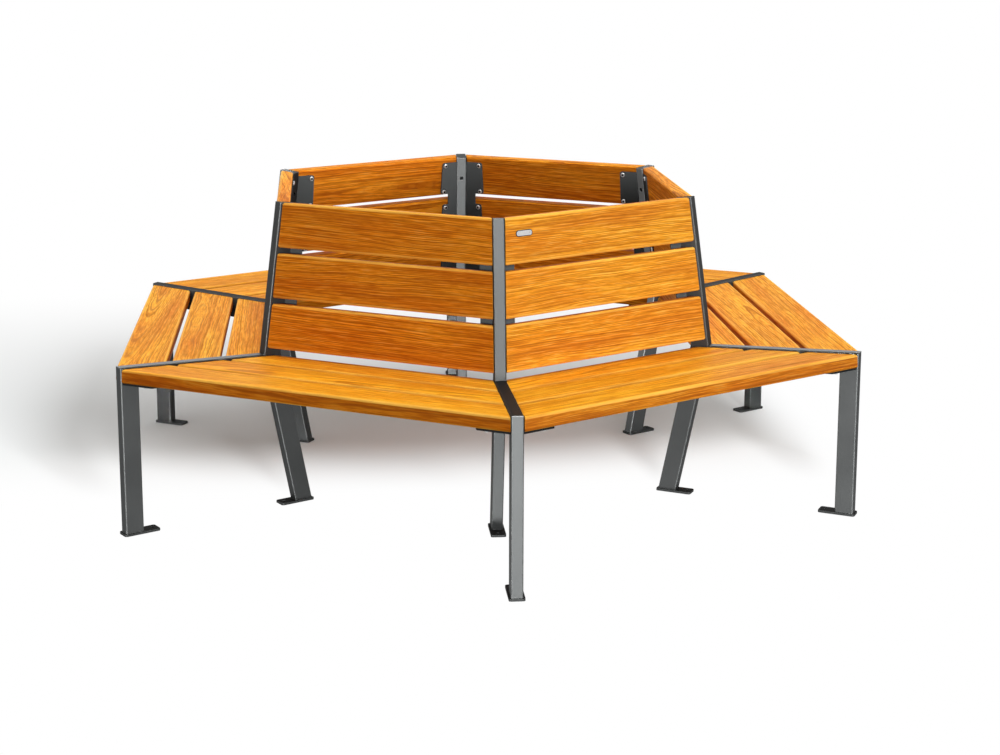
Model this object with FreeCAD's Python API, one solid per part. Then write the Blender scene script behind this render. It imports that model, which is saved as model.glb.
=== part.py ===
import FreeCAD, Part
import os
from math import atan, atan2, cos, degrees, radians, sin, tan

V = FreeCAD.Vector

# Six sided bench round a tree. Millimetres, Z up, origin on the floor at the centre of the hexagon.

# Main sizes of the ring
outer_radius = 1120.0        # centre to the outer face of an outer leg
seat_height = 450.0          # top of a seat rail at its outer end
seat_slope = 2.92            # fall of a seat rail towards the tree, degrees
back_lean = 8.2              # lean of the back post towards the tree, degrees
inner_leg_lean = 11.6        # lean of the inner leg towards the tree at the floor, degrees

# Steel tube
tube_depth = 50.0            # seen from the side of a frame
tube_width = 30.0            # seen from the front of a frame
tube_wall = 2.0
tube_corner = 3.0            # outside corner radius
post_cap = 3.0               # thickness of the welded cap in the top of a post
corner_flats = 4             # short flats that make up each rounded corner and edge

# Timber boards
board_width = 120.0
board_thickness = 36.0
board_edge_radius = 6.0
board_end_gap = 1.5          # between a mitred board end and the side of the tube
board_recess = 4.0           # face of the boards below the top or front of the tube
seat_first_edge = 2.0        # front of the tube to the front edge of the outer seat board
seat_gap = 15.0              # between neighbouring seat boards
seat_behind_post = 32.0      # how far the inner seat board goes behind the front of the post
back_first_edge = 18.0       # seat level to the lower edge of the bottom back board
back_gap = 16.0              # between neighbouring back boards

# Seat brackets under the boards
seat_bracket_sheet = 5.0
seat_bracket_reach = 76.0    # out from the side of the tube
seat_bracket_setback = 4.0   # in from the edge of the outer and the inner seat board
seat_bracket_corner = 8.0

# Lobed back brackets behind the boards
back_bracket_sheet = 4.0
lobe_reach = 55.0            # out from the post, at the top of a lobe
lobe_above_edge = 3.0        # lower edge of a board to the bottom of its lobe
lobe_below_edge = 15.5       # top of a lobe to the upper edge of its board
lobe_corner = 7.0
neck_reach = 34.0            # out from the post, between two lobes
neck_corner = 4.0
post_hole = 13.0             # round hole in the inner wall of the post at the middle of each lobe

# Foot plates
foot_length = 100.0
foot_width = 40.0
foot_thickness = 6.0
foot_corner = 6.0
foot_lip = 5.0               # how far the plate shows past the outer leg, or past the inner leg inside
anchor_hole = 10.0
anchor_from_end = 14.0       # centre of the anchor hole to the far end of its plate

# Names of the six corners, where the frames stand, and of the six sides between them
corner_names = ["front_corner", "right_front_corner", "right_back_corner",
                "back_corner", "left_back_corner", "left_front_corner"]
side_names = ["front_right_side", "right_side", "back_right_side",
              "back_left_side", "left_side", "front_left_side"]
seat_row_names = ["outer", "middle", "inner"]
back_row_names = ["bottom", "middle", "top"]

side_count = len(side_names)
half_side = radians(180.0 / side_count)      # angle from the middle of a side to a corner
first_corner = -90.0                         # the front corner faces the front of the bench
first_side = first_corner + degrees(half_side)
side_step = 360.0 / side_count
reach = 4.0 * (outer_radius + seat_height)   # longer than anything in the bench
along_x = FreeCAD.Rotation(V(1, 1, 1), 120)  # a run along Z is laid along X
along_y = FreeCAD.Rotation(V(1, 1, 1), -120)

# Shapes of a side follow from those of the frames: the tube corners lie along lines that are
# seen shorter from the middle of a side, by the cosine of half the side angle.
seat_fall = atan(tan(radians(seat_slope)) / cos(half_side))
back_tilt = atan(tan(radians(back_lean)) * cos(half_side))
corner_shift = 0.5 * tube_width * sin(half_side)
front_line = outer_radius * cos(half_side) + corner_shift

seat_pitch = board_width + seat_gap
back_pitch = board_width + back_gap
seat_depth = seat_first_edge + len(seat_row_names) * seat_pitch - seat_gap
back_length = back_first_edge + len(back_row_names) * back_pitch - back_gap

# Bend of a back support, at the inner end of the seat rail
bend_line = front_line - seat_depth * cos(seat_fall) + seat_behind_post
bend_radius = (bend_line - corner_shift) / cos(half_side)
bend_height = seat_height - (outer_radius - bend_radius) * tan(radians(seat_slope))
post_top = bend_height + back_length * cos(back_tilt)
post_top_radius = bend_radius - (post_top - bend_height) * tan(radians(back_lean))
inner_foot_radius = bend_radius - (bend_height - foot_thickness) * tan(radians(inner_leg_lean))


def crossing(p, d, q, e):
    # Where the line through p along d meets the line through q along e, in the plane of a frame
    s = ((q.x - p.x) * e.z - (q.z - p.z) * e.x) / (d.x * e.z - d.z * e.x)
    return p + d * s


def inward(d):
    # A quarter turn from the run of a tube to the side where its depth lies
    return V(-d.z, 0, d.x)


def cut_off(shape, point, normal):
    # Takes away everything past a plane
    block = Part.makeBox(reach, reach, reach, V(-reach / 2, -reach / 2, 0))
    block.Placement = FreeCAD.Placement(point, FreeCAD.Rotation(V(0, 0, 1), normal))
    return shape.cut(block)


def outline(corners):
    # Closed flat outline from (x, y, radius), each rounded corner laid out as a few short flats
    points = []
    for i, (x, y, radius) in enumerate(corners):
        here = V(x, y, 0)
        if radius <= 0:
            points.append(here)
            continue
        before = (V(*corners[i - 1][:2]) - here).normalize()
        after = (V(*corners[(i + 1) % len(corners)][:2]) - here).normalize()
        half = before.getAngle(after) / 2
        centre = here + (before + after).normalize() * (radius / sin(half))
        first = here + before * (radius / tan(half)) - centre
        last = here + after * (radius / tan(half)) - centre
        sweep = first.getAngle(last)
        for step in range(corner_flats + 1):
            turn = sweep * step / corner_flats
            points.append(centre + (first * sin(sweep - turn) + last * sin(turn)) * (1 / sin(sweep)))
    return Part.makePolygon(points + points[:1])


def sheet(corners, thickness):
    return Part.Face(outline(corners)).extrude(V(0, 0, thickness))


def rod(x0, x1, y0, y1, radius, length):
    # Rounded rectangle run both ways along Z
    corners = [(x0, y0, radius), (x1, y0, radius), (x1, y1, radius), (x0, y1, radius)]
    return sheet(corners, length).translated(V(0, 0, -length / 2))


def bar(start, end, inset):
    # Bar along the outer face of a tube and past both ends, smaller all round by the inset
    side = tube_width / 2 - inset
    core = rod(-side, side, inset, tube_depth - inset, 0 if inset else tube_corner, reach / 2)
    run = (end - start).normalize()
    slant = FreeCAD.Rotation(V(0, 1, 0), -degrees(atan2(run.z, run.x)))
    core.Placement = FreeCAD.Placement(start, slant.multiply(along_x)).multiply(core.Placement)
    return core


def tube_side(shape, side, gap):
    # Trims a piece of a side to the tube of the corner on its left (minus) or right (plus)
    away = V(-sin(half_side), side * cos(half_side), 0)
    return cut_off(shape, away * -(tube_width / 2 + gap), away)


def to_seat(shape):
    # Flat piece with x out from the tree, y along the side and z up, laid on the slope of the seat
    turn = FreeCAD.Rotation(V(0, 1, 0), -degrees(seat_fall))
    shape.Placement = FreeCAD.Placement(V(front_line, 0, seat_height), turn).multiply(shape.Placement)
    return shape


def to_back(shape):
    # Flat piece with x down, y along the side and z out from the tree, set up on the lean of the back
    turn = FreeCAD.Rotation(V(0, 1, 0), 90 - degrees(back_tilt))
    shape.Placement = FreeCAD.Placement(V(bend_line, 0, bend_height), turn).multiply(shape.Placement)
    return shape


def board(edge, place):
    # Board with rounded long edges, from its first edge on, mitred to the tubes at both ends
    low = -board_recess - board_thickness
    plank = rod(low, -board_recess, -edge - board_width, -edge, board_edge_radius, reach / 2)
    plank.Placement = FreeCAD.Placement(V(0, 0, 0), along_y).multiply(plank.Placement)
    plank = place(plank)
    return tube_side(tube_side(plank, 1, board_end_gap), -1, board_end_gap)


def turned(shape, angle):
    turn = FreeCAD.Placement(V(0, 0, 0), FreeCAD.Rotation(V(0, 0, 1), angle))
    copy = shape.copy()
    copy.Placement = turn.multiply(copy.Placement)
    return copy


def to_corner(shape, k):
    return turned(shape, first_corner + k * side_step)


def to_side(shape, k):
    return turned(shape, first_side + k * side_step)


def export(shape, name):
    shape.exportStep("parts/" + name + ".step")


# Lines of one frame, in the upright plane through the tree: x out from the tree, z up
up = V(0, 0, 1)
rail_run = V(-cos(radians(seat_slope)), 0, -sin(radians(seat_slope)))
post_run = V(-sin(radians(back_lean)), 0, cos(radians(back_lean)))
leg_run = V(sin(radians(inner_leg_lean)), 0, cos(radians(inner_leg_lean)))
outer_corner = V(outer_radius, 0, seat_height)
bend = V(bend_radius, 0, bend_height)
post_head = V(post_top_radius, 0, post_top)
outer_foot = V(outer_radius, 0, foot_thickness)
inner_foot = V(inner_foot_radius, 0, foot_thickness)

# Mitre between the outer leg and the seat rail
leg_inside = outer_corner + inward(up) * tube_depth
rail_underside = outer_corner + inward(rail_run) * tube_depth
mitre_in = crossing(leg_inside, up, rail_underside, rail_run)
mitre_face = inward((mitre_in - outer_corner).normalize())
if mitre_face.z < 0:
    mitre_face = mitre_face * -1

# Mitre between the post and the inner leg
post_inside = bend + inward(post_run) * tube_depth
inner_leg_back = bend + inward(leg_run) * tube_depth
bend_in = crossing(post_inside, post_run, inner_leg_back, leg_run)
bend_face = inward((bend_in - bend).normalize())
if bend_face.z < 0:
    bend_face = bend_face * -1

# Outer leg, a tube open at both ends
outer_leg = bar(outer_foot, outer_corner, 0).cut(bar(outer_foot, outer_corner, tube_wall))
outer_leg = cut_off(outer_leg, outer_foot, up * -1)
outer_leg = cut_off(outer_leg, outer_corner, mitre_face)

# Seat rail from the mitre to the outer face of the inner leg
seat_rail = bar(outer_corner, bend, 0).cut(bar(outer_corner, bend, tube_wall))
seat_rail = cut_off(seat_rail, outer_corner, mitre_face * -1)
seat_rail = cut_off(seat_rail, bend, inward(leg_run))

# Back support: post with a closed top, mitred to the inner leg
post = cut_off(bar(bend, post_head, 0), post_head, post_run)
post_hollow = cut_off(bar(bend, post_head, tube_wall), post_head - post_run * post_cap, post_run)
post = cut_off(post.cut(post_hollow), bend, bend_face * -1)
inner_leg = bar(inner_foot, bend, 0).cut(bar(inner_foot, bend, tube_wall))
inner_leg = cut_off(cut_off(inner_leg, inner_foot, up * -1), bend, bend_face)
back_support = post.fuse(inner_leg).removeSplitter()

lobes = []
for row in range(len(back_row_names)):
    lower = back_first_edge + row * back_pitch
    lobes.append((lower + lobe_above_edge, lower + board_width - lobe_below_edge))
for bottom, top in lobes:
    along = (bottom + top) / 2 * cos(back_tilt) / cos(radians(back_lean))
    centre = bend + post_run * along + inward(post_run) * (tube_depth - 1.5 * tube_wall)
    back_support = back_support.cut(Part.makeCylinder(post_hole / 2, 4 * tube_wall, centre, inward(post_run)))

# Foot plate with one anchor hole near the end that shows
foot_outline = [(0, -foot_width / 2, foot_corner), (foot_length, -foot_width / 2, foot_corner),
                (foot_length, foot_width / 2, foot_corner), (0, foot_width / 2, foot_corner)]
foot_plate = sheet(foot_outline, foot_thickness)
outer_plate_start = outer_radius + foot_lip - foot_length
inner_leg_inside = inner_foot_radius - tube_depth / cos(radians(inner_leg_lean))
inner_plate_start = inner_leg_inside - foot_lip
outer_anchor = Part.makeCylinder(anchor_hole / 2, foot_thickness, V(anchor_from_end, 0, 0))
inner_anchor = Part.makeCylinder(anchor_hole / 2, foot_thickness, V(foot_length - anchor_from_end, 0, 0))
outer_foot_plate = foot_plate.cut(outer_anchor).translated(V(outer_plate_start, 0, 0))
inner_foot_plate = foot_plate.cut(inner_anchor).translated(V(inner_plate_start, 0, 0))

# Seat bracket beside the tube on the left (minus) or right (plus) end of a side, under the boards
under_boards = -board_recess - board_thickness
bracket_front = seat_first_edge + seat_bracket_setback
bracket_back = seat_depth - seat_bracket_setback


def seat_end(distance):
    # Half length of the side between the tubes, at a distance down the slope from the front line
    return (front_line - distance * cos(seat_fall)) * tan(half_side) - tube_width / 2 / cos(half_side)


def back_end(distance):
    # Half length of the side between the tubes, at a distance up the back from the seat
    line = bend_line - distance * sin(back_tilt) + under_boards * cos(back_tilt)
    return line * tan(half_side) - tube_width / 2 / cos(half_side)


def seat_bracket(side):
    free = seat_bracket_reach / cos(half_side)
    past = tube_width
    corners = [(-bracket_front, side * (seat_end(bracket_front) + past), 0),
               (-bracket_back, side * (seat_end(bracket_back) + past), 0),
               (-bracket_back, side * (seat_end(bracket_back) - free), seat_bracket_corner),
               (-bracket_front, side * (seat_end(bracket_front) - free), seat_bracket_corner)]
    strip = sheet(corners, seat_bracket_sheet).translated(V(0, 0, under_boards - seat_bracket_sheet))
    return tube_side(to_seat(strip), side, 0)


def back_bracket(side):
    # The outline goes up the free side lobe by lobe and comes down inside the tube
    first, last = lobes[0][0], lobes[-1][1]
    corners = [(-first, side * (back_end(first) + tube_width), 0)]
    for row, (bottom, top) in enumerate(lobes):
        free = side * (back_end(top) - lobe_reach)
        if row > 0:
            corners.append((-bottom, side * (back_end(bottom) - neck_reach), neck_corner))
        corners.append((-bottom, free, lobe_corner))
        corners.append((-top, free, lobe_corner))
        if row < len(lobes) - 1:
            corners.append((-top, side * (back_end(top) - neck_reach), neck_corner))
    corners.append((-last, side * (back_end(last) + tube_width), 0))
    plate = sheet(corners, back_bracket_sheet).translated(V(0, 0, under_boards - back_bracket_sheet))
    return tube_side(to_back(plate), side, 0)


seat_boards = [board(seat_first_edge + row * seat_pitch, to_seat) for row in range(len(seat_row_names))]
back_boards = [board(back_first_edge + row * back_pitch, to_back) for row in range(len(back_row_names))]

os.makedirs("parts", exist_ok=True)

ring = range(side_count)
for k in ring:
    export(to_corner(outer_leg, k), "outer_leg_" + corner_names[k])
    export(to_corner(seat_rail, k), "seat_rail_" + corner_names[k])
    export(to_corner(back_support, k), "back_support_" + corner_names[k])
    for row, name in enumerate(seat_row_names):
        export(to_side(seat_boards[row], k), "seat_board_" + name + "_" + side_names[k])
    for row, name in enumerate(back_row_names):
        export(to_side(back_boards[row], k), "back_board_" + name + "_" + side_names[k])

export(Part.makeCompound([to_corner(outer_foot_plate, k) for k in ring]), "outer_foot_plates")
export(Part.makeCompound([to_corner(inner_foot_plate, k) for k in ring]), "inner_foot_plates")
export(Part.makeCompound([to_side(seat_bracket(s), k) for k in ring for s in (-1, 1)]), "seat_brackets")
export(Part.makeCompound([to_side(back_bracket(s), k) for k in ring for s in (-1, 1)]), "back_brackets")
print("bend at", round(bend_radius, 1), round(bend_height, 1), "post top", round(post_top, 1))
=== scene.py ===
import math

import bpy
import numpy as np
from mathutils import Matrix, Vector


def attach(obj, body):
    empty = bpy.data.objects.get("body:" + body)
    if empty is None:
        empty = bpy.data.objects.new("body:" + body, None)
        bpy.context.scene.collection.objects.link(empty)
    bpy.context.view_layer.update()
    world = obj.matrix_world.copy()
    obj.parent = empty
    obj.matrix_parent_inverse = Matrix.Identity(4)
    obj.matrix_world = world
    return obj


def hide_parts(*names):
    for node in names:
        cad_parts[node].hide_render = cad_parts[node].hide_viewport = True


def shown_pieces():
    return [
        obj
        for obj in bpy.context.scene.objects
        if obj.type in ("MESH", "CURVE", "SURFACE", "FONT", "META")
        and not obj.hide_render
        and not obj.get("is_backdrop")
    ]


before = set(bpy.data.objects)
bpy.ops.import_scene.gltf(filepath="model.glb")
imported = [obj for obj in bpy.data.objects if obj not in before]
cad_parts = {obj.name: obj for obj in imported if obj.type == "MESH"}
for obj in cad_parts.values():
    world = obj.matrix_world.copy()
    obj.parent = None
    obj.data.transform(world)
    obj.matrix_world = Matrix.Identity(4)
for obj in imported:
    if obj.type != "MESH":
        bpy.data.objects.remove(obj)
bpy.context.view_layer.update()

# The bench as the CAD has it, in millimetres and degrees. A side is drawn with X outward from the
# tree, Y along the side and Z up, and then turned about the tree.
bench = {
    "outerRadius": 1120.0, "seatHeight": 450.0, "seatSlope": 2.92, "backLean": 8.2,
    "tubeWidth": 30.0, "seatDepth": 392.0, "seatBehindPost": 32.0,
    "firstSide": -60.0, "sideTurn": 60.0,
    "sides": ["front_right_side", "right_side", "back_right_side",
              "back_left_side", "left_side", "front_left_side"],
    "seatRows": ["outer", "middle", "inner"], "backRows": ["bottom", "middle", "top"],
    "farCorners": ["right_back_corner", "back_corner", "left_back_corner"],
    "frontCorners": ["left_front_corner", "right_front_corner"],
}
perMetre = 1000.0  # millimetres
halfTurn = math.radians(bench["sideTurn"] / 2)
sideAngles = [bench["firstSide"] + bench["sideTurn"] * k for k in range(len(bench["sides"]))]
seatFall = math.atan(math.tan(math.radians(bench["seatSlope"])) / math.cos(halfTurn))
backTilt = math.atan(math.tan(math.radians(bench["backLean"])) * math.cos(halfTurn))
# seen from the middle of a side, a tube's corner stands a quarter of its width further out
frontLine = bench["outerRadius"] * math.cos(halfTurn) + bench["tubeWidth"] / 4
bendLine = frontLine - bench["seatDepth"] * math.cos(seatFall) + bench["seatBehindPost"]
bendHeight = bench["seatHeight"] - (frontLine - bendLine) * math.tan(seatFall)


# A mesh object from points in millimetres, with one material. It rides the bench.
def makePiece(name, points, faces, material, smooth=True):
    mesh = bpy.data.meshes.new(name)
    mesh.from_pydata((np.asarray(points) / perMetre).tolist(), [], faces)
    mesh.update()
    mesh.polygons.foreach_set("use_smooth", np.full(len(mesh.polygons), smooth))
    piece = bpy.data.objects.new(name, mesh)
    bpy.context.scene.collection.objects.link(piece)
    mesh.materials.append(material)
    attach(piece, "root")
    return piece


# Quads between neighbouring rings of a grid of rings x points, the last point joined to the first.
def ringFaces(rings, around, start=0):
    i, j = np.meshgrid(np.arange(rings - 1), np.arange(around), indexing="ij")
    k = (j + 1) % around
    quads = np.stack([i * around + j, i * around + k, (i + 1) * around + k, (i + 1) * around + j], -1)
    return quads.reshape(-1, 4) + start


# A fan of triangles from one middle point to a ring, turned over where it closes the first ring.
def fanFaces(middle, first, around, atStart):
    j = np.arange(around)
    k = (j + 1) % around
    pair = (first + k, first + j) if atStart else (first + j, first + k)
    return np.stack([np.full(around, middle), *pair], -1)


# Rings closed by a fan at both ends. The two middle points come straight after the rings.
def closedFaces(rings, around, start=0):
    total = start + rings * around
    return [*ringFaces(rings, around, start).tolist(), *fanFaces(total, start, around, True).tolist(),
            *fanFaces(total + 1, total - around, around, False).tolist()]


# Turned about the tree: X and Y turn by the side's angle, Z stays.
def turned(points, angle):
    cosine, sine = math.cos(math.radians(angle)), math.sin(math.radians(angle))
    return np.stack([points[..., 0] * cosine - points[..., 1] * sine,
                     points[..., 0] * sine + points[..., 1] * cosine, points[..., 2]], -1)


# A point of the seat: d back from the front line, y along the side, w above the rails' tops.
def seatPoint(d, y, w):
    x = frontLine - d * math.cos(seatFall) - w * math.sin(seatFall)
    z = bench["seatHeight"] - d * math.sin(seatFall) + w * math.cos(seatFall)
    return np.stack(np.broadcast_arrays(x, y, z), -1)


# A point of the back: s up from the bend, y along the side, w out from the posts' front faces.
def backPoint(s, y, w):
    x = bendLine - s * math.sin(backTilt) + w * math.cos(backTilt)
    z = bendHeight + s * math.cos(backTilt) + w * math.sin(backTilt)
    return np.stack(np.broadcast_arrays(x, y, z), -1)


# Half the room between the tubes of a side, x out from the tree, less a gap beside each tube.
def endOf(x, gap=0.0):
    return x * math.tan(halfTurn) - (bench["tubeWidth"] / 2 + gap) / math.cos(halfTurn)


# Settings go on the node and inputs on its sockets: an output is linked, anything else is a value.
def addNode(tree, kind, inputs=None, **settings):
    made = tree.nodes.new("ShaderNode" + kind)
    for name, value in settings.items():
        setattr(made, name, value)
    for key, value in (inputs or {}).items():
        if isinstance(value, bpy.types.NodeSocket):
            tree.links.new(value, made.inputs[key])
        else:
            made.inputs[key].default_value = value
    return made


# An empty material with its output node.
def newMaterial(name):
    material = bpy.data.materials.new(name)
    material.use_nodes = True
    tree = material.node_tree
    tree.nodes.clear()
    output = addNode(tree, "OutputMaterial")
    return material, tree, output


# Each of the next ones adds a step or two to a material and gives the last output back.
def maths(tree, operation, a, b=0.0):
    return addNode(tree, "Math", {0: a, 1: b}, operation=operation).outputs[0]


def plus(tree, a, b):
    return maths(tree, "ADD", a, b)


def times(tree, value, *others):
    for other in others:
        value = maths(tree, "MULTIPLY", value, other)
    return value


def vectorMaths(tree, operation, a, b):
    return addNode(tree, "VectorMath", {0: a, 1: b}, operation=operation).outputs[0]


def stretched(tree, vector, factors):
    return vectorMaths(tree, "MULTIPLY", vector, factors)


# Noise with so many cells in a metre each way. It gives its node, whose first output is the grey.
def noise(tree, vector, cells, detail=2.0, rough=0.5):
    return addNode(tree, "TexNoise", {"Vector": stretched(tree, vector, cells), "Scale": 1.0,
                                      "Detail": detail, "Roughness": rough})


# Grey noise with the same number of cells in a metre all ways.
def evenNoise(tree, vector, cells, detail):
    return addNode(tree, "TexNoise", {"Vector": vector, "Scale": cells, "Detail": detail}).outputs[0]


# Stops are (value, tone), and a tone is a grey value or a colour.
def ramp(tree, factor, stops):
    made = addNode(tree, "ValToRGB", {0: factor})
    spots = made.color_ramp.elements
    spots[0].position, spots[1].position = stops[0][0], stops[-1][0]
    for place, tone in stops[1:-1]:
        spots.new(place)
    for spot, (place, tone) in zip(spots, stops):
        spot.color = (*tone, 1.0) if isinstance(tone, tuple) else (tone, tone, tone, 1.0)
    return made.outputs[0]


# The factor, a and b are each an output or a value.
def mixColour(tree, factor, a, b, blend="MIX"):
    made = addNode(tree, "Mix", data_type="RGBA", blend_type=blend)
    for socket, value in ((made.inputs[0], factor), (made.inputs[6], a), (made.inputs[7], b)):
        if isinstance(value, bpy.types.NodeSocket):
            tree.links.new(value, socket)
        elif isinstance(value, tuple):
            socket.default_value = (*value, 1.0)
        else:
            socket.default_value = value
    return made.outputs[2]


def bumped(tree, height, strength, distance):
    return addNode(tree, "Bump", {"Strength": strength, "Distance": distance, "Height": height}).outputs[0]


# Lengths in metres. A name that ends in Cells is how many cells a metre holds along, across and
# through the board, and one that ends in Stops is a ramp from the noise's value to a tone.
timberLook = {
    "light": (1.0, 0.45, 0.022), "main": (0.93, 0.325, 0.009), "dark": (0.44, 0.105, 0.003),
    # the pale edge colour serves bright fibres and the upper rounded edges, where it is wear and a painted
    # highlight
    "pore": (0.34, 0.075, 0.002), "wornAndHighlight": (1.0, 0.56, 0.09), "mainStops": [(0.3, 0.0), (0.7, 1.0)],
    "sway": 0.016, "swayCells": (2.4, 10.0, 10.0), "swayDetail": 1.5,
    "ripple": 0.0052, "rippleCells": (7.5, 30.0, 30.0), "rippleDetail": 2.0,
    "ringWidth": 0.0115, "ringDepth": 0.76, "ringPace": 0.31, "ringDrift": 3.0, "leastRing": 0.2,
    "ringStops": [(0.0, 0.05), (0.10, 0.0), (0.58, 0.0), (0.74, 1.0), (0.90, 1.0), (1.0, 0.05)],
    "brokenCells": (5.0, 40.0, 1.0), "brokenStops": [(0.32, 0.2), (0.55, 1.0)],
    "fineRing": 0.0043, "fineDepth": 0.74, "fineDrift": 5.0, "fineStops": [(0.25, 0.0), (0.40, 1.0)],
    "comeAndGoCells": (7.0, 90.0, 1.0), "comeAndGoStops": [(0.32, 0.15), (0.60, 1.0)],
    "fibreCells": (15.0, 310.0, 310.0), "fibreDepth": 0.58, "fibreStops": [(0.45, 0.0), (0.66, 1.0)],
    "brightDepth": 0.7, "brightStops": [(0.32, 1.0), (0.47, 0.0)],
    "poreCells": (42.0, 900.0, 1.0), "poreDepth": 0.45, "poreStops": [(0.54, 0.0), (0.68, 1.0)],
    "poreInRing": 0.6, "poreBetween": 0.3,
    "bandCells": (1.6, 26.0, 1.0), "bandStops": [(0.36, (0.86, 0.72, 0.62)), (0.62, (1.06, 1.06, 1.06))],
    "patchCells": (2.6, 16.0, 16.0), "wornAndHighlightStops": [(0.35, 0.3), (0.65, 0.75)],
    "rough": 0.42, "fibreRough": 0.18, "ringRough": 0.12, "specular": 0.06,
    "ringHeight": 0.5, "poreHeight": 0.8, "fibreHeight": 0.6, "bump": 0.35, "bumpDistance": 0.0004,
}


# Growth rings are the distance from the heart line (grainSpace y = z = 0), bent by a slow sway and
# a quick ripple, cut into steps a ring wide. Fibres are noise drawn out along the bent board.
def timberMaterial():
    look = timberLook
    material, tree, output = newMaterial("oiledTimber")
    grain = addNode(tree, "Attribute", attribute_name="grainSpace").outputs["Vector"]

    def bentBy(vector, amount, cells, detail):
        cloud = noise(tree, grain, cells, detail).outputs["Color"]
        cloud = vectorMaths(tree, "SUBTRACT", cloud, (0.5, 0.5, 0.5))
        return vectorMaths(tree, "ADD", vector, stretched(tree, cloud, (0.0, amount, amount)))

    bent = bentBy(grain, look["sway"], look["swayCells"], look["swayDetail"])
    bent = bentBy(bent, look["ripple"], look["rippleCells"], look["rippleDetail"])
    flat = stretched(tree, bent, (0.0, 1.0, 1.0))
    reach = addNode(tree, "VectorMath", {0: flat}, operation="LENGTH").outputs["Value"]
    along = addNode(tree, "SeparateXYZ", {0: grain}).outputs[0]
    flow = addNode(tree, "CombineXYZ", {0: along, 1: reach, 2: 0.0}).outputs[0]

    count = maths(tree, "DIVIDE", reach, look["ringWidth"])
    drift = {"W": times(tree, count, look["ringPace"]), "Scale": 1.0, "Detail": 1.0}
    uneven = addNode(tree, "TexNoise", drift, noise_dimensions="1D").outputs[0]
    count = plus(tree, count, times(tree, uneven, look["ringDrift"]))
    ring = ramp(tree, maths(tree, "FRACT", count), look["ringStops"])
    ringNumber = maths(tree, "FLOOR", count)
    ringNoise = addNode(tree, "TexWhiteNoise", {"W": ringNumber}, noise_dimensions="1D").outputs[0]
    broken = noise(tree, flow, look["brokenCells"]).outputs[0]
    strength = plus(tree, times(tree, ringNoise, 1.0 - look["leastRing"]), look["leastRing"])
    strength = times(tree, strength, ramp(tree, broken, look["brokenStops"]))
    ringTone = times(tree, ring, strength, look["ringDepth"])

    # finer lines between the rings, each fading in and out along the board
    fine = maths(tree, "DIVIDE", reach, look["fineRing"])
    fine = plus(tree, fine, times(tree, uneven, look["fineDrift"]))
    fine = ramp(tree, maths(tree, "PINGPONG", fine, 0.5), look["fineStops"])
    comeAndGo = noise(tree, flow, look["comeAndGoCells"], 1.0).outputs[0]
    fineTone = times(tree, fine, ramp(tree, comeAndGo, look["comeAndGoStops"]), look["fineDepth"])
    fibres = noise(tree, bent, look["fibreCells"], 2.0, 0.6).outputs[0]
    fibreTone = times(tree, ramp(tree, fibres, look["fibreStops"]), look["fibreDepth"])
    bright = ramp(tree, fibres, look["brightStops"])
    poreNoise = noise(tree, flow, look["poreCells"], 1.0).outputs[0]
    inRing = plus(tree, times(tree, ring, look["poreInRing"]), look["poreBetween"])
    poreTone = times(tree, ramp(tree, poreNoise, look["poreStops"]), inRing)

    # the tint's colour is the board's random tone times its painted light and shade, and its alpha is how
    # strongly the board's grain shows
    tint = addNode(tree, "Attribute", attribute_name="boardToneAndShade")
    tone, depth = tint.outputs["Color"], tint.outputs["Alpha"]
    fibreTone, fineTone, ringTone = (times(tree, part, depth) for part in (fibreTone, fineTone, ringTone))
    patch = noise(tree, grain, look["patchCells"]).outputs[0]
    base = mixColour(tree, ramp(tree, patch, look["mainStops"]), look["main"], look["light"])
    base = mixColour(tree, times(tree, bright, look["brightDepth"]), base, look["wornAndHighlight"])
    bands = ramp(tree, noise(tree, flow, look["bandCells"]).outputs[0], look["bandStops"])
    base = mixColour(tree, 1.0, base, bands, "MULTIPLY")
    for part in (fibreTone, fineTone, ringTone):
        base = mixColour(tree, part, base, look["dark"])
    base = mixColour(tree, times(tree, poreTone, look["poreDepth"]), base, look["pore"])
    # the board's random tone times its painted light and shade
    base = mixColour(tree, 1.0, base, tone, "MULTIPLY")
    # rounded edges on the upper or outer side go paler: some wear, and a painted highlight
    edge = addNode(tree, "Attribute", attribute_name="edgeWearAndHighlight").outputs["Fac"]
    wornAndHighlight = times(tree, edge, ramp(tree, patch, look["wornAndHighlightStops"]))
    base = mixColour(tree, wornAndHighlight, base, look["wornAndHighlight"])
    roughness = plus(tree, times(tree, ringTone, look["ringRough"]),
                     plus(tree, times(tree, fibres, look["fibreRough"]), look["rough"]))
    height = times(tree, ring, look["ringHeight"])
    height = maths(tree, "SUBTRACT", height, times(tree, poreTone, look["poreHeight"]))
    height = maths(tree, "SUBTRACT", height, times(tree, fibreTone, look["fibreHeight"]))
    shader = addNode(tree, "BsdfPrincipled", {
        "Base Color": base, "Roughness": roughness, "Specular IOR Level": look["specular"],
        "Normal": bumped(tree, height, look["bump"], look["bumpDistance"])})
    tree.links.new(shader.outputs[0], output.inputs[0])
    return material


paintLooks = {
    "framePaint": {"colour": (0.045, 0.047, 0.047), "fleck": (0.08, 0.084, 0.084),
                   "rubbedAndHighlight": (0.40, 0.41, 0.41), "metallic": 0.85, "rough": 0.51},
    "bracketPaint": {"colour": (0.030, 0.032, 0.032), "fleck": (0.05, 0.054, 0.054),
                     "rubbedAndHighlight": (0.12, 0.125, 0.125), "metallic": 0.85, "rough": 0.72},
    "footPaint": {"colour": (0.018, 0.019, 0.019), "fleck": (0.035, 0.037, 0.037),
                  "rubbedAndHighlight": (0.16, 0.165, 0.165), "metallic": 0.7, "rough": 0.62},
}
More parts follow.
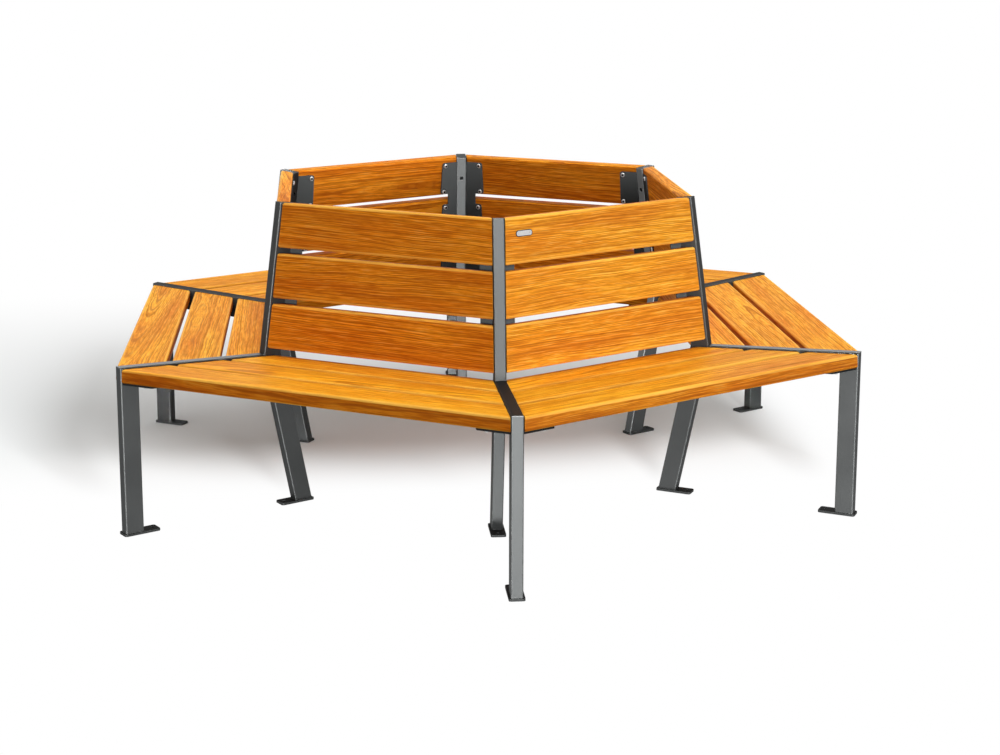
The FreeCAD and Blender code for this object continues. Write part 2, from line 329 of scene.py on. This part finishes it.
# What the three paints share: cells in a metre, the pale edge's width in metres, ramps and bump.
# facingStops turns how far an edge bends away, as a cosine, into how pale it goes: partly rubbed paint and
# partly a painted highlight.
paintSurface = {
    "peelCells": 700.0, "fleckCells": 1500.0, "fleckStops": [(0.58, 0.0), (0.72, 1.0)], "fleckDepth": 0.5,
    "patchCells": 6.0, "patchStops": [(0.3, 0.9), (0.7, 1.1)], "patchRough": 0.12,
    "edgeWidth": 0.0026, "facingStops": [(0.76, 0.1), (0.86, 1.0), (0.985, 0.0)],
    "rubAndHighlightCells": 40.0, "rubAndHighlightStops": [(0.35, 0.35), (0.65, 0.8)],
    "sheen": (0.45, 0.45, 0.45, 1.0), "bump": 0.25, "bumpDistance": 0.0002,
}


# Satin powder paint: a fine peel in the bump, mica flecks, slow patches, and edges made paler, partly as
# rubbed paint and partly as a painted highlight.
def paintMaterial(name):
    look, shared = paintLooks[name], paintSurface
    material, tree, output = newMaterial(name)
    place = addNode(tree, "TexCoord").outputs["Object"]
    peel = evenNoise(tree, place, shared["peelCells"], 2.0)
    flecks = ramp(tree, evenNoise(tree, place, shared["fleckCells"], 0.0), shared["fleckStops"])
    patches = evenNoise(tree, place, shared["patchCells"], 3.0)
    colour = mixColour(tree, times(tree, flecks, shared["fleckDepth"]), look["colour"], look["fleck"])
    colour = mixColour(tree, 1.0, colour, ramp(tree, patches, shared["patchStops"]), "MULTIPLY")
    # paler edges: some wear, and a painted highlight along the tubes' corners and the rails' tops
    rounded = addNode(tree, "Bevel", {"Radius": shared["edgeWidth"]}, samples=4).outputs[0]
    true = addNode(tree, "NewGeometry").outputs["Normal"]
    facing = addNode(tree, "VectorMath", {0: rounded, 1: true}, operation="DOT_PRODUCT").outputs["Value"]
    uneven = ramp(tree, evenNoise(tree, place, shared["rubAndHighlightCells"], 3.0), shared["rubAndHighlightStops"])
    rubbedAndHighlight = times(tree, ramp(tree, facing, shared["facingStops"]), uneven)
    colour = mixColour(tree, rubbedAndHighlight, colour, look["rubbedAndHighlight"])
    # the noise's middle is a half, so the patches leave the mean roughness as it is
    least = look["rough"] - shared["patchRough"] / 2
    roughness = plus(tree, times(tree, patches, shared["patchRough"]), least)
    shader = addNode(tree, "BsdfPrincipled", {
        "Base Color": colour, "Metallic": look["metallic"], "Roughness": roughness,
        "Specular Tint": shared["sheen"],
        "Normal": bumped(tree, peel, shared["bump"], shared["bumpDistance"])})
    tree.links.new(shader.outputs[0], output.inputs[0])
    return material


steelLooks = {
    "plateSteel": {"colour": (0.31, 0.31, 0.305), "metallic": 0.6, "rough": 0.42},
    "screwSteel": {"colour": (0.66, 0.67, 0.67), "metallic": 0.9, "rough": 0.3},
    # the socket colour is painted shade: near-black for the screws' sockets and the plate's raised rim
    "paintedShadeSteel": {"colour": (0.012, 0.012, 0.012), "metallic": 0.2, "rough": 0.6},
}
brushing = {"cells": (900.0, 900.0, 160.0), "stops": [(0.3, 0.82), (0.7, 1.1)], "rough": 0.2,
            "bump": 0.15, "bumpDistance": 0.0001}


# Brushed stainless steel: fine streaks in one direction change the tone and the roughness.
def steelMaterial(name):
    look = steelLooks[name]
    material, tree, output = newMaterial(name)
    place = addNode(tree, "TexCoord").outputs["Object"]
    streaks = noise(tree, place, brushing["cells"]).outputs[0]
    tint = mixColour(tree, 1.0, look["colour"], ramp(tree, streaks, brushing["stops"]), "MULTIPLY")
    roughness = plus(tree, times(tree, streaks, brushing["rough"]), look["rough"])
    shader = addNode(tree, "BsdfPrincipled", {
        "Base Color": tint, "Metallic": look["metallic"], "Roughness": roughness,
        "Normal": bumped(tree, streaks, brushing["bump"], brushing["bumpDistance"])})
    tree.links.new(shader.outputs[0], output.inputs[0])
    return material


oiledTimber = timberMaterial()
framePaint, bracketPaint, footPaint = (paintMaterial(name) for name in paintLooks)
plateSteel, screwSteel, paintedShadeSteel = (steelMaterial(name) for name in steelLooks)
print("materials made")

# The boards, in millimetres. Tints multiply the timber's colour and are painted light and shade: the seats'
# tint is a paler lit one, and each side's back boards have one by how lit that side is. The narrow faces,
# from narrowFrom out across the board, have tints of their own, painted shade, darkest on the seats of
# shadedSide and mildest on the backs. grain is how strongly the grain shows. heart is how far a board lies
# from its tree's heart line, across and through it, lean how much that changes along it, and run how far
# along the tree it may come from.
board = {
    "width": 120.0, "thickness": 36.0, "edgeRadius": 6.0, "endGap": 1.5, "recess": 4.0,
    "seatFirst": 2.0, "seatGap": 15.0, "backFirst": 18.0, "backGap": 16.0,
    "roundSteps": 6, "endEase": 1.2, "easeSteps": 4, "holdLine": 1.0, "lengthSteps": 5,
    "seed": 20, "heart": ([5, 20], [105, 60]), "lean": ([-0.03, -0.04], [0.03, 0.04]),
    "run": 9000.0, "tones": (0.96, 1.03), "narrowFrom": 57.0, "narrowBlend": 3.0,
    # painted light and shade: the seats' tint makes their upward faces paler and yellower as lit, and the
    # narrow faces' tints are painted shade
    "seatLitTint": (1.045, 1.165, 1.04), "seatGrain": 0.92, "backGrain": 1.0,
    "seatNarrowShade": (0.80, 0.68, 0.50), "shadedNarrow": (0.63, 0.44, 0.28), "shadedSide": "front_left_side",
    "backNarrowShade": (1.0, 0.95, 0.8),
    # painted light and shade: each side's back boards go lighter, or darker and redder, by how lit that
    # side is
    "backLightAndShadeTints": {
        "front_right_side": (0.98, 1.06, 1.05), "right_side": (0.93, 0.80, 0.78),
        "back_right_side": (1.03, 0.84, 0.75), "back_left_side": (1.05, 0.86, 0.75),
        "left_side": (1.0, 0.94, 0.85), "front_left_side": (0.89, 0.78, 0.68)},
}


# The board's outline drawn in by inset: each corner is an arc of edgeRadius - inset about a fixed
# centre, with one more point on each flat beside it, so that the flats stay flat in the shading.
def boardOutline(inset):
    inset = np.asarray(inset, float).reshape(-1, 1, 1)
    steps = np.linspace(0.0, math.pi / 2, board["roundSteps"] + 1)
    quarter = np.arange(4).reshape(-1, 1) * math.pi / 2
    angle = quarter + steps
    a, b = board["width"] / 2 - board["edgeRadius"], board["thickness"] / 2 - board["edgeRadius"]
    signA, signB = np.array([1, -1, -1, 1.0])[:, None], np.array([1, 1, -1, -1.0])[:, None]
    radius = board["edgeRadius"] - inset
    p = signA * a + radius * np.cos(angle)
    q = signB * b + radius * np.sin(angle)
    first, last = quarter[:, 0], quarter[:, 0] + math.pi / 2
    hold = board["holdLine"]
    # before the arc the outline comes along the flat, after it the outline goes on along the next
    pBefore, qBefore = p[..., 0] + hold * np.sin(first), q[..., 0] - hold * np.cos(first)
    pAfter, qAfter = p[..., -1] - hold * np.sin(last), q[..., -1] + hold * np.cos(last)
    p = np.concatenate([pBefore[..., None], p, pAfter[..., None]], -1)
    q = np.concatenate([qBefore[..., None], q, qAfter[..., None]], -1)
    return p.reshape(len(inset), -1), q.reshape(len(inset), -1)


# A value at each point of a piece, for its material to read.
def setValues(piece, name, kind, field, values):
    piece.data.attributes.new(name, kind, "POINT").data.foreach_set(field, values.ravel())


# The outline is carried along the board between its two mitred ends. Each point's line is as long
# as the gap between the tubes is at its own distance from the tree, and the ends are eased by a
# quarter circle: inset = ease (1 - cos t), pull = ease (1 - sin t). The ends close in a fan.
def boardSurface(name, place, angle, rng, tint, narrowShadeTint, grainDepth):
    ease, hold, steps = board["endEase"], board["holdLine"], board["lengthSteps"]
    t = np.linspace(math.pi / 2, 0.0, board["easeSteps"])
    inset = np.concatenate([[ease + hold], ease * (1 - np.cos(t)), np.zeros(steps),
                            ease * (1 - np.cos(t[::-1])), [ease + hold]])
    pull = np.concatenate([[0.0], ease * (1 - np.sin(t)), np.full(steps, ease + hold),
                           ease * (1 - np.sin(t[::-1])), [0.0]])
    end = np.ones(board["easeSteps"] + 1)
    share = np.concatenate([-end, np.linspace(-1, 1, steps), end])
    p, q = boardOutline(inset)
    rings, around = p.shape
    x = place(p, 0.0 * p, q)[..., 0]
    y = share[:, None] * (endOf(x, board["endGap"]) - pull[:, None])
    local = place(p, y, q).reshape(-1, 3)
    middleX = place(np.zeros(1), np.zeros(1), np.zeros(1))[0, 0]
    tip = endOf(middleX, board["endGap"])
    caps = place(np.zeros(2), np.array([-tip, tip]), np.zeros(2))
    points = turned(np.concatenate([local, caps]), angle)
    piece = makePiece(name, points, closedFaces(rings, around), oiledTimber)
    # grainSpace: along, across and through the board, set off from the tree's heart by a seeded amount
    along = np.concatenate([y.ravel(), [-tip, tip]])
    across, through = np.append(p.ravel(), [0, 0]), np.append(q.ravel(), [0, 0])
    heart = rng.uniform(*board["heart"]) * rng.choice([-1, 1], 2)
    lean = rng.uniform(*board["lean"])
    run = rng.uniform(-board["run"], board["run"])
    grain = np.stack([along + run, across + heart[0] + lean[0] * along,
                      through + heart[1] + lean[1] * along], -1)
    setValues(piece, "grainSpace", "FLOAT_VECTOR", "vector", grain / perMetre)
    # the long edges' rounds and the eased ends, on the upper or outer side alone, go paler as wear and a
    # painted highlight
    perRing = np.tile(np.concatenate([[0.0], np.ones(board["roundSteps"] + 1), [0.0]]), 4)
    eased = np.repeat((inset > 0) & (inset <= ease), around)
    edge = np.maximum(np.tile(perRing, rings), eased) * (q.ravel() > 0)
    setValues(piece, "edgeWearAndHighlight", "FLOAT", "value", np.append(edge, [0, 0]))
    # each board has its own random tone, times the painted light and shade tints of its broad and narrow
    # faces
    narrow = np.clip((np.abs(across) - board["narrowFrom"]) / board["narrowBlend"], 0.0, 1.0)[:, None]
    tone = rng.uniform(*board["tones"]) * (np.array(tint) * (1.0 - narrow) + np.array(narrowShadeTint) * narrow)
    tone = np.concatenate([tone, np.full((len(points), 1), grainDepth)], 1)
    setValues(piece, "boardToneAndShade", "FLOAT_COLOR", "color", tone)
    return piece


# The board that starts at first, about its own middle: p runs across its width and q through its
# thickness, and surfacePoint is seatPoint or backPoint.
def boardPlace(surfacePoint, first):
    middle, half = first + board["width"] / 2, board["thickness"] / 2
    return lambda p, y, q: surfacePoint(middle + p, y, q - half - board["recess"])


rng = np.random.default_rng(board["seed"])
for side, angle in zip(bench["sides"], sideAngles):
    # painted shade on the seats' narrow faces, darkest on the side turned from the key light
    narrow = board["shadedNarrow"] if side == board["shadedSide"] else board["seatNarrowShade"]
    for row, word in enumerate(bench["seatRows"]):
        place = boardPlace(seatPoint, board["seatFirst"] + row * (board["width"] + board["seatGap"]))
        plank = boardSurface(f"seatBoard_{word}_{side}", place, angle, rng, board["seatLitTint"], narrow,
                             board["seatGrain"])
        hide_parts(f"seat_board_{word}_{side}")
    for row, word in enumerate(bench["backRows"]):
        place = boardPlace(backPoint, board["backFirst"] + row * (board["width"] + board["backGap"]))
        plank = boardSurface(f"backBoard_{word}_{side}", place, angle, rng, board["backLightAndShadeTints"][side],
                             board["backNarrowShade"], board["backGrain"])
        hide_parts(f"back_board_{word}_{side}")
print("36 boards made")

# The screws that hold the boards, in millimetres. profile is (radius, height) from the face that a
# head sits on, and the two faces lie below the rails' tops and behind the posts' fronts.
screw = {
    "sides": 10, "profile": [(7.0, -0.2), (7.0, 1.3), (5.6, 3.5), (3.9, 4.3), (3.5, 1.6)],
    "seatAlong": 59.0, "seatFromEdge": 16.0, "seatFace": 45.0,
    "lobes": [(21.0, 122.5), (157.0, 258.5), (293.0, 394.5)], "lobeReach": 55.0, "fromLobeSide": 10.0,
    "fromLobeTop": 10.0, "fromLobeBottom": 8.0, "backFace": 44.0,
}


# A button head is a profile of (radius, height) turned about its axis. One head is worked out once
# and set at every place: point = place + radius cos a * first + radius sin a * second + height * axis.
def screwHeads(name, places, axes, firsts):
    profile = np.array(screw["profile"])
    a = np.arange(screw["sides"]) * 2 * math.pi / screw["sides"]
    ringX, ringY = profile[:, :1] * np.cos(a), profile[:, :1] * np.sin(a)
    ringZ = np.repeat(profile[:, 1:], screw["sides"], 1)
    flat = np.stack([ringX, ringY, ringZ], -1).reshape(-1, 3)
    flat = np.concatenate([flat, [[0, 0, profile[0, 1]], [0, 0, profile[-1, 1]]]])
    seconds = np.cross(axes, firsts)
    points = (places[:, None] + flat[None, :, :1] * firsts[:, None] + flat[None, :, 1:2] * seconds[:, None]
              + flat[None, :, 2:] * axes[:, None])
    rings, around = len(profile), screw["sides"]
    total = rings * around
    quads = ringFaces(rings, around)
    fans = np.concatenate([fanFaces(total, 0, around, True),
                           fanFaces(total + 1, total - around, around, False)])
    starts = (np.arange(len(places)) * (total + 2))[:, None, None]
    faces = (quads[None] + starts).reshape(-1, 4).tolist() + (fans[None] + starts).reshape(-1, 3).tolist()
    piece = makePiece(name, points.reshape(-1, 3), faces, screwSteel)
    piece.data.materials.append(paintedShadeSteel)
    # the last band and the last fan are the socket, painted near-black as the shade in it
    quadSlots, fanSlots = np.zeros(len(quads), int), np.repeat([0, 1], around)
    quadSlots[-around:] = 1
    slots = np.concatenate([np.tile(quadSlots, len(places)), np.tile(fanSlots, len(places))])
    piece.data.polygons.foreach_set("material_index", slots)
    return piece


# Places on one side: two screws to each board end, through the seat strips and the brackets' lobes.
def screwPlaces():
    seat, back = [], []
    for row in range(len(bench["seatRows"])):
        for inFrom in (screw["seatFromEdge"], board["width"] - screw["seatFromEdge"]):
            d = board["seatFirst"] + row * (board["width"] + board["seatGap"]) + inFrom
            x = seatPoint(d, 0.0, -screw["seatFace"])[0]
            y = endOf(x) - screw["seatAlong"]
            seat += [seatPoint(d, -y, -screw["seatFace"]), seatPoint(d, y, -screw["seatFace"])]
    for low, high in screw["lobes"]:
        behind = backPoint(high, 0.0, -board["recess"] - board["thickness"])
        y = endOf(behind[0]) - screw["lobeReach"] + screw["fromLobeSide"]
        for s in (low + screw["fromLobeBottom"], high - screw["fromLobeTop"]):
            back += [backPoint(s, -y, -screw["backFace"]), backPoint(s, y, -screw["backFace"])]
    return np.array(seat), np.array(back)


# One direction or a list of places of one side, turned to all the sides in turn.
def onAllSides(vectors):
    return np.concatenate([turned(vectors, angle) for angle in sideAngles])


seatSpots, backSpots = screwPlaces()
seatAxis = [math.sin(seatFall), 0.0, -math.cos(seatFall)]
backAxis = [-math.cos(backTilt), 0.0, -math.sin(backTilt)]
for name, spots, axis in (("seatScrewHeads", seatSpots, seatAxis), ("backScrewHeads", backSpots, backAxis)):
    axes = onAllSides(np.tile(axis, (len(spots), 1)))
    firsts = onAllSides(np.tile([0.0, 1.0, 0.0], (len(spots), 1)))
    screwHeads(name, onAllSides(spots), axes, firsts)
print("144 screw heads made")

# The small oval plate on the front right back is bare, and two pins hold it. In millimetres: s and y
# are its middle, rings are (in from the outline, height above the board), and the last ring about
# the field has innerRadius. A pin stands on pinFoot, and its profile is (share of radius, height).
plate = {
    "length": 52.0, "width": 17.0, "s": 367.0, "y": -250.5, "steps": 14, "paintedShadeRings": 4, "innerRadius": 3.0,
    "rings": [(0.0, -0.1), (0.0, 1.2), (0.5, 1.8), (1.6, 1.8), (2.0, 1.3)], "field": 1.3,
    "pinSides": 12, "pinRadius": 1.9, "pinFoot": 1.25, "pinFromEnd": 8.0,
    "pinProfile": [(1.0, 0.0), (1.0, 0.4), (0.65, 0.8)], "pinTop": 0.88,
}


# A stadium outline drawn in ring by ring: half circles about two fixed centres, joined by straights.
# A pin is a low dome: its profile turned about its own middle.
def blankPlate():
    half = (plate["length"] - plate["width"]) / 2
    turn = np.linspace(-math.pi / 2, math.pi / 2, plate["steps"])
    centre = np.concatenate([np.full(plate["steps"], half), np.full(plate["steps"], -half)])
    angle = np.concatenate([turn, turn + math.pi])
    inward, up = np.array(plate["rings"]).T
    radius = np.append(plate["width"] / 2 - inward, plate["innerRadius"])
    height = np.append(up, plate["field"])
    along = centre + radius[:, None] * np.cos(angle)
    across = radius[:, None] * np.sin(angle)
    rings, around = along.shape
    grid = np.stack([along, across, np.repeat(height[:, None], around, 1)], -1).reshape(-1, 3)
    grid = np.concatenate([grid, [[0, 0, height[0]], [0, 0, height[-1]]]])
    faces = closedFaces(rings, around)
    profile, sides = np.array(plate["pinProfile"]), plate["pinSides"]
    pinRadius, pinHeight = profile[:, :1] * plate["pinRadius"], profile[:, 1:] + plate["pinFoot"]
    turn = np.arange(sides) * 2 * math.pi / sides
    for sign in (-1, 1):
        pinAt = sign * (plate["length"] / 2 - plate["pinFromEnd"])
        pin = np.stack([pinRadius * np.cos(turn) + pinAt, pinRadius * np.sin(turn),
                        np.repeat(pinHeight, sides, 1)], -1)
        ends = [[pinAt, 0, plate["pinFoot"]], [pinAt, 0, plate["pinTop"] + plate["pinFoot"]]]
        faces += closedFaces(len(profile), sides, len(grid))
        grid = np.concatenate([grid, pin.reshape(-1, 3), ends])
    face = backPoint(plate["s"] + grid[:, 1], plate["y"] + grid[:, 0], grid[:, 2] - board["recess"])
    piece = makePiece("blankPlate", turned(face, bench["firstSide"]), faces, plateSteel, smooth=False)
    piece.data.materials.append(paintedShadeSteel)
    # the raised rim's rings are painted near-black as shade
    slots = np.zeros(len(faces), int)
    slots[:plate["paintedShadeRings"] * around] = 1
    piece.data.polygons.foreach_set("material_index", slots)
    return piece


blankPlate()
print("blank plate made")

# The CAD's own steel keeps its shape and takes the paints.
steel = {name: node for name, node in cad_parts.items() if "board" not in name}
for name, node in steel.items():
    paint = bracketPaint if "bracket" in name else footPaint if "foot" in name else framePaint
    for place in node.material_slots:
        place.link = "OBJECT"
        place.material = paint
print("steel painted")

# Floor and sky, in metres. Towards the right and the back the floor starts to fade at the first X
# and Y of clearRightBack and is white at the second. clearLeftFront says the same of -X and -Y.
stage = {
    "floorSize": 60.0, "floorSeen": (0.885, 0.922, 0.94), "floorReal": (0.25, 0.25, 0.25),
    "clearRightBack": ((0.84, 0.65, 0.0), (1.14, 2.68, 1.0)),
    "clearLeftFront": ((1.67, -0.31, 0.0), (2.14, 0.27, 1.0)),
    "sky": 0.62, "skyTint": (1.0, 0.965, 0.93),
}
# Suns: from points from the bench to the lamp, angle is its width in degrees, and lights names the
# group that it lights alone, as a flagged studio lamp does.
suns = {
    "keyLamp": {"from": (0.90, -0.43, 0.07), "power": 1.62, "angle": 14.0, "lights": "dressing"},
    "topLamp": {"from": (0.10, -0.15, 0.98), "power": 1.55, "angle": 30.0, "lights": "dressing"},
    "backLamp": {"from": (-0.55, 0.62, 0.55), "power": 0.15, "angle": 14.0, "lights": "everyPiece"},
    "sheenLamp": {"from": (-0.07, -0.997, 0.015), "power": 19.0, "angle": 18.0, "lights": "otherSteel"},
    "postLamp": {"from": (-0.07, -0.997, 0.015), "power": 7.8, "angle": 18.0, "lights": "posts"},
    "lowLamp": {"from": (-0.07, -0.80, -0.60), "power": 3.0, "angle": 24.0, "lights": "posts"},
    "innerLamp": {"from": (-0.60, -0.62, 0.62), "power": 21.0, "angle": 20.0, "lights": "farPosts"},
    "rearLamp": {"from": (0.10, 0.99, 0.0), "power": 8.0, "angle": 18.0, "lights": "farSteel"},
    "railLamp": {"from": (0.09, 0.97, 0.235), "power": 5.0, "angle": 60.0, "lights": "frontRails"},
    "bracketLamp": {"from": (0.75, -0.55, 0.36), "power": 7.0, "angle": 20.0, "lights": "brackets"},
}
# A round softbox that lights the floor alone and draws the bench's shadow on it.
softbox = {"at": (1.0, -5.6, 2.5), "to": (0.0, 0.2, 0.2), "power": 591.0, "width": 1.4}


# 1 for what the camera sees itself, in a mirror or through glass, and 0 for all other light.
def seenDirectly(tree):
    path = addNode(tree, "LightPath")
    both = maths(tree, "MAXIMUM", path.outputs["Is Camera Ray"], path.outputs["Is Glossy Ray"])
    return maths(tree, "MAXIMUM", both, path.outputs["Is Transmission Ray"])


# The floor keeps the shadow near the bench and fades to plain white further out, on each of its
# four sides between two distances from the tree: clear = the larger of the two ways' smooth steps.
# Seen from below it is clear.
def makeFloor():
    material, tree, output = newMaterial("paleFloor")
    place = addNode(tree, "TexCoord").outputs["Object"]

    def fade(vector, ends):
        return addNode(tree, "MapRange", {6: vector, 7: ends[0], 8: ends[1]}, data_type="FLOAT_VECTOR",
                       interpolation_type="SMOOTHSTEP").outputs[1]

    mirrored = stretched(tree, place, (-1.0, -1.0, -1.0))
    clear = vectorMaths(tree, "MAXIMUM", fade(place, stage["clearRightBack"]),
                        fade(mirrored, stage["clearLeftFront"]))
    clear = addNode(tree, "SeparateXYZ", {0: clear})
    clear = maths(tree, "MAXIMUM", clear.outputs[0], clear.outputs[1])
    real = addNode(tree, "BsdfDiffuse", {"Color": (*stage["floorReal"], 1.0)}).outputs[0]
    seen = addNode(tree, "BsdfDiffuse", {"Color": (*stage["floorSeen"], 1.0)}).outputs[0]
    white = addNode(tree, "Emission", {"Color": (1, 1, 1, 1), "Strength": 1.0}).outputs[0]
    seen = addNode(tree, "MixShader", {0: clear, 1: seen, 2: white}).outputs[0]
    both = addNode(tree, "MixShader", {0: seenDirectly(tree), 1: real, 2: seen}).outputs[0]
    under = addNode(tree, "BsdfTransparent").outputs[0]
    behind = addNode(tree, "NewGeometry").outputs["Backfacing"]
    both = addNode(tree, "MixShader", {0: behind, 1: both, 2: under}).outputs[0]
    tree.links.new(both, output.inputs[0])
    size = stage["floorSize"]
    mesh = bpy.data.meshes.new("floor")
    corners = [(-size, -size, 0), (size, -size, 0), (size, size, 0), (-size, size, 0)]
    mesh.from_pydata(corners, [], [(0, 1, 2, 3)])
    mesh.materials.append(material)
    floor = bpy.data.objects.new("floor", mesh)
    bpy.context.scene.collection.objects.link(floor)
    floor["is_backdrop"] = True
    return floor


# A weak sky lights the bench, and white shows behind it.
def makeWorld():
    world = bpy.data.worlds.new("softSky")
    world.use_nodes = True
    tree = world.node_tree
    tree.nodes.clear()
    dim = addNode(tree, "Background", {0: (*stage["skyTint"], 1.0), 1: stage["sky"]}).outputs[0]
    white = addNode(tree, "Background", {0: (1, 1, 1, 1), 1: 1.0}).outputs[0]
    both = addNode(tree, "MixShader", {0: seenDirectly(tree), 1: dim, 2: white}).outputs[0]
    tree.links.new(both, addNode(tree, "OutputWorld").inputs[0])
    bpy.context.scene.world = world


# A collection of these objects, for a lamp's light or shadow.
def groupOf(name, objects):
    group = bpy.data.collections.new(name)
    for thing in objects:
        group.objects.link(thing)
    return group


# A lamp that points back along direction and lights only these objects.
def addLamp(name, kind, direction, power, objects, at=(0.0, 0.0, 0.0)):
    light = bpy.data.lights.new(name, kind)
    light.energy = power
    lamp = bpy.data.objects.new(name, light)
    lamp.location = at
    lamp.rotation_mode = "QUATERNION"
    lamp.rotation_quaternion = Vector(direction).to_track_quat("Z", "Y")
    bpy.context.scene.collection.objects.link(lamp)
    lamp.light_linking.receiver_collection = groupOf(name + "Lights", objects)
    return lamp


floor = makeFloor()
makeWorld()
farPosts = [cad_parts["back_support_" + corner] for corner in bench["farCorners"]]
groups = {
    "everyPiece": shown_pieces(),
    "dressing": [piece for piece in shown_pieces() if piece not in list(steel.values())],
    "posts": [node for name, node in steel.items() if "back_support" in name],
    "otherSteel": [node for name, node in steel.items()
                   if "back_support" not in name and name != "seat_brackets"],
    "farPosts": farPosts,
    "farSteel": farPosts + [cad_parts["outer_leg_" + corner] for corner in bench["farCorners"]],
    "frontRails": [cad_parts["seat_rail_" + corner] for corner in bench["frontCorners"]],
    "brackets": [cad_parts["back_brackets"]],
}
for name, sun in suns.items():
    lamp = addLamp(name, "SUN", sun["from"], sun["power"], groups[sun["lights"]])
    lamp.data.angle = math.radians(sun["angle"])
    if name == "lowLamp":
        # it stands for the light that the pale floor throws up, so the floor doesn't block it
        lamp.light_linking.blocker_collection = groupOf("lowLampBlockers", groups["everyPiece"])
towards = Vector(softbox["at"]) - Vector(softbox["to"])
lamp = addLamp("shadeLamp", "AREA", towards, softbox["power"], [floor], softbox["at"])
lamp.data.shape = "DISK"
lamp.data.size = softbox["width"]

# The photograph's camera, solved from it: metres and degrees, and millimetres for lens and sensor.
eye = {"at": (-0.4385, -5.2635, 1.5876), "yaw": 4.967, "pitch": 11.027, "lens": 67.154, "sensor": 36.0,
       "shift": (0.01602, -0.1), "farEnd": 200.0}
camera = bpy.data.cameras.new("camera")
camera.sensor_width = eye["sensor"]
camera.lens = eye["lens"]
camera.shift_x, camera.shift_y = eye["shift"]
camera.clip_end = eye["farEnd"]
cameraObject = bpy.data.objects.new("camera", camera)
cameraObject.location = eye["at"]
cameraObject.rotation_euler = (math.radians(90.0 - eye["pitch"]), 0.0, math.radians(-eye["yaw"]))
bpy.context.scene.collection.objects.link(cameraObject)
bpy.context.scene.camera = cameraObject
bpy.context.scene.view_settings.view_transform = "Standard"
print("stage ready")
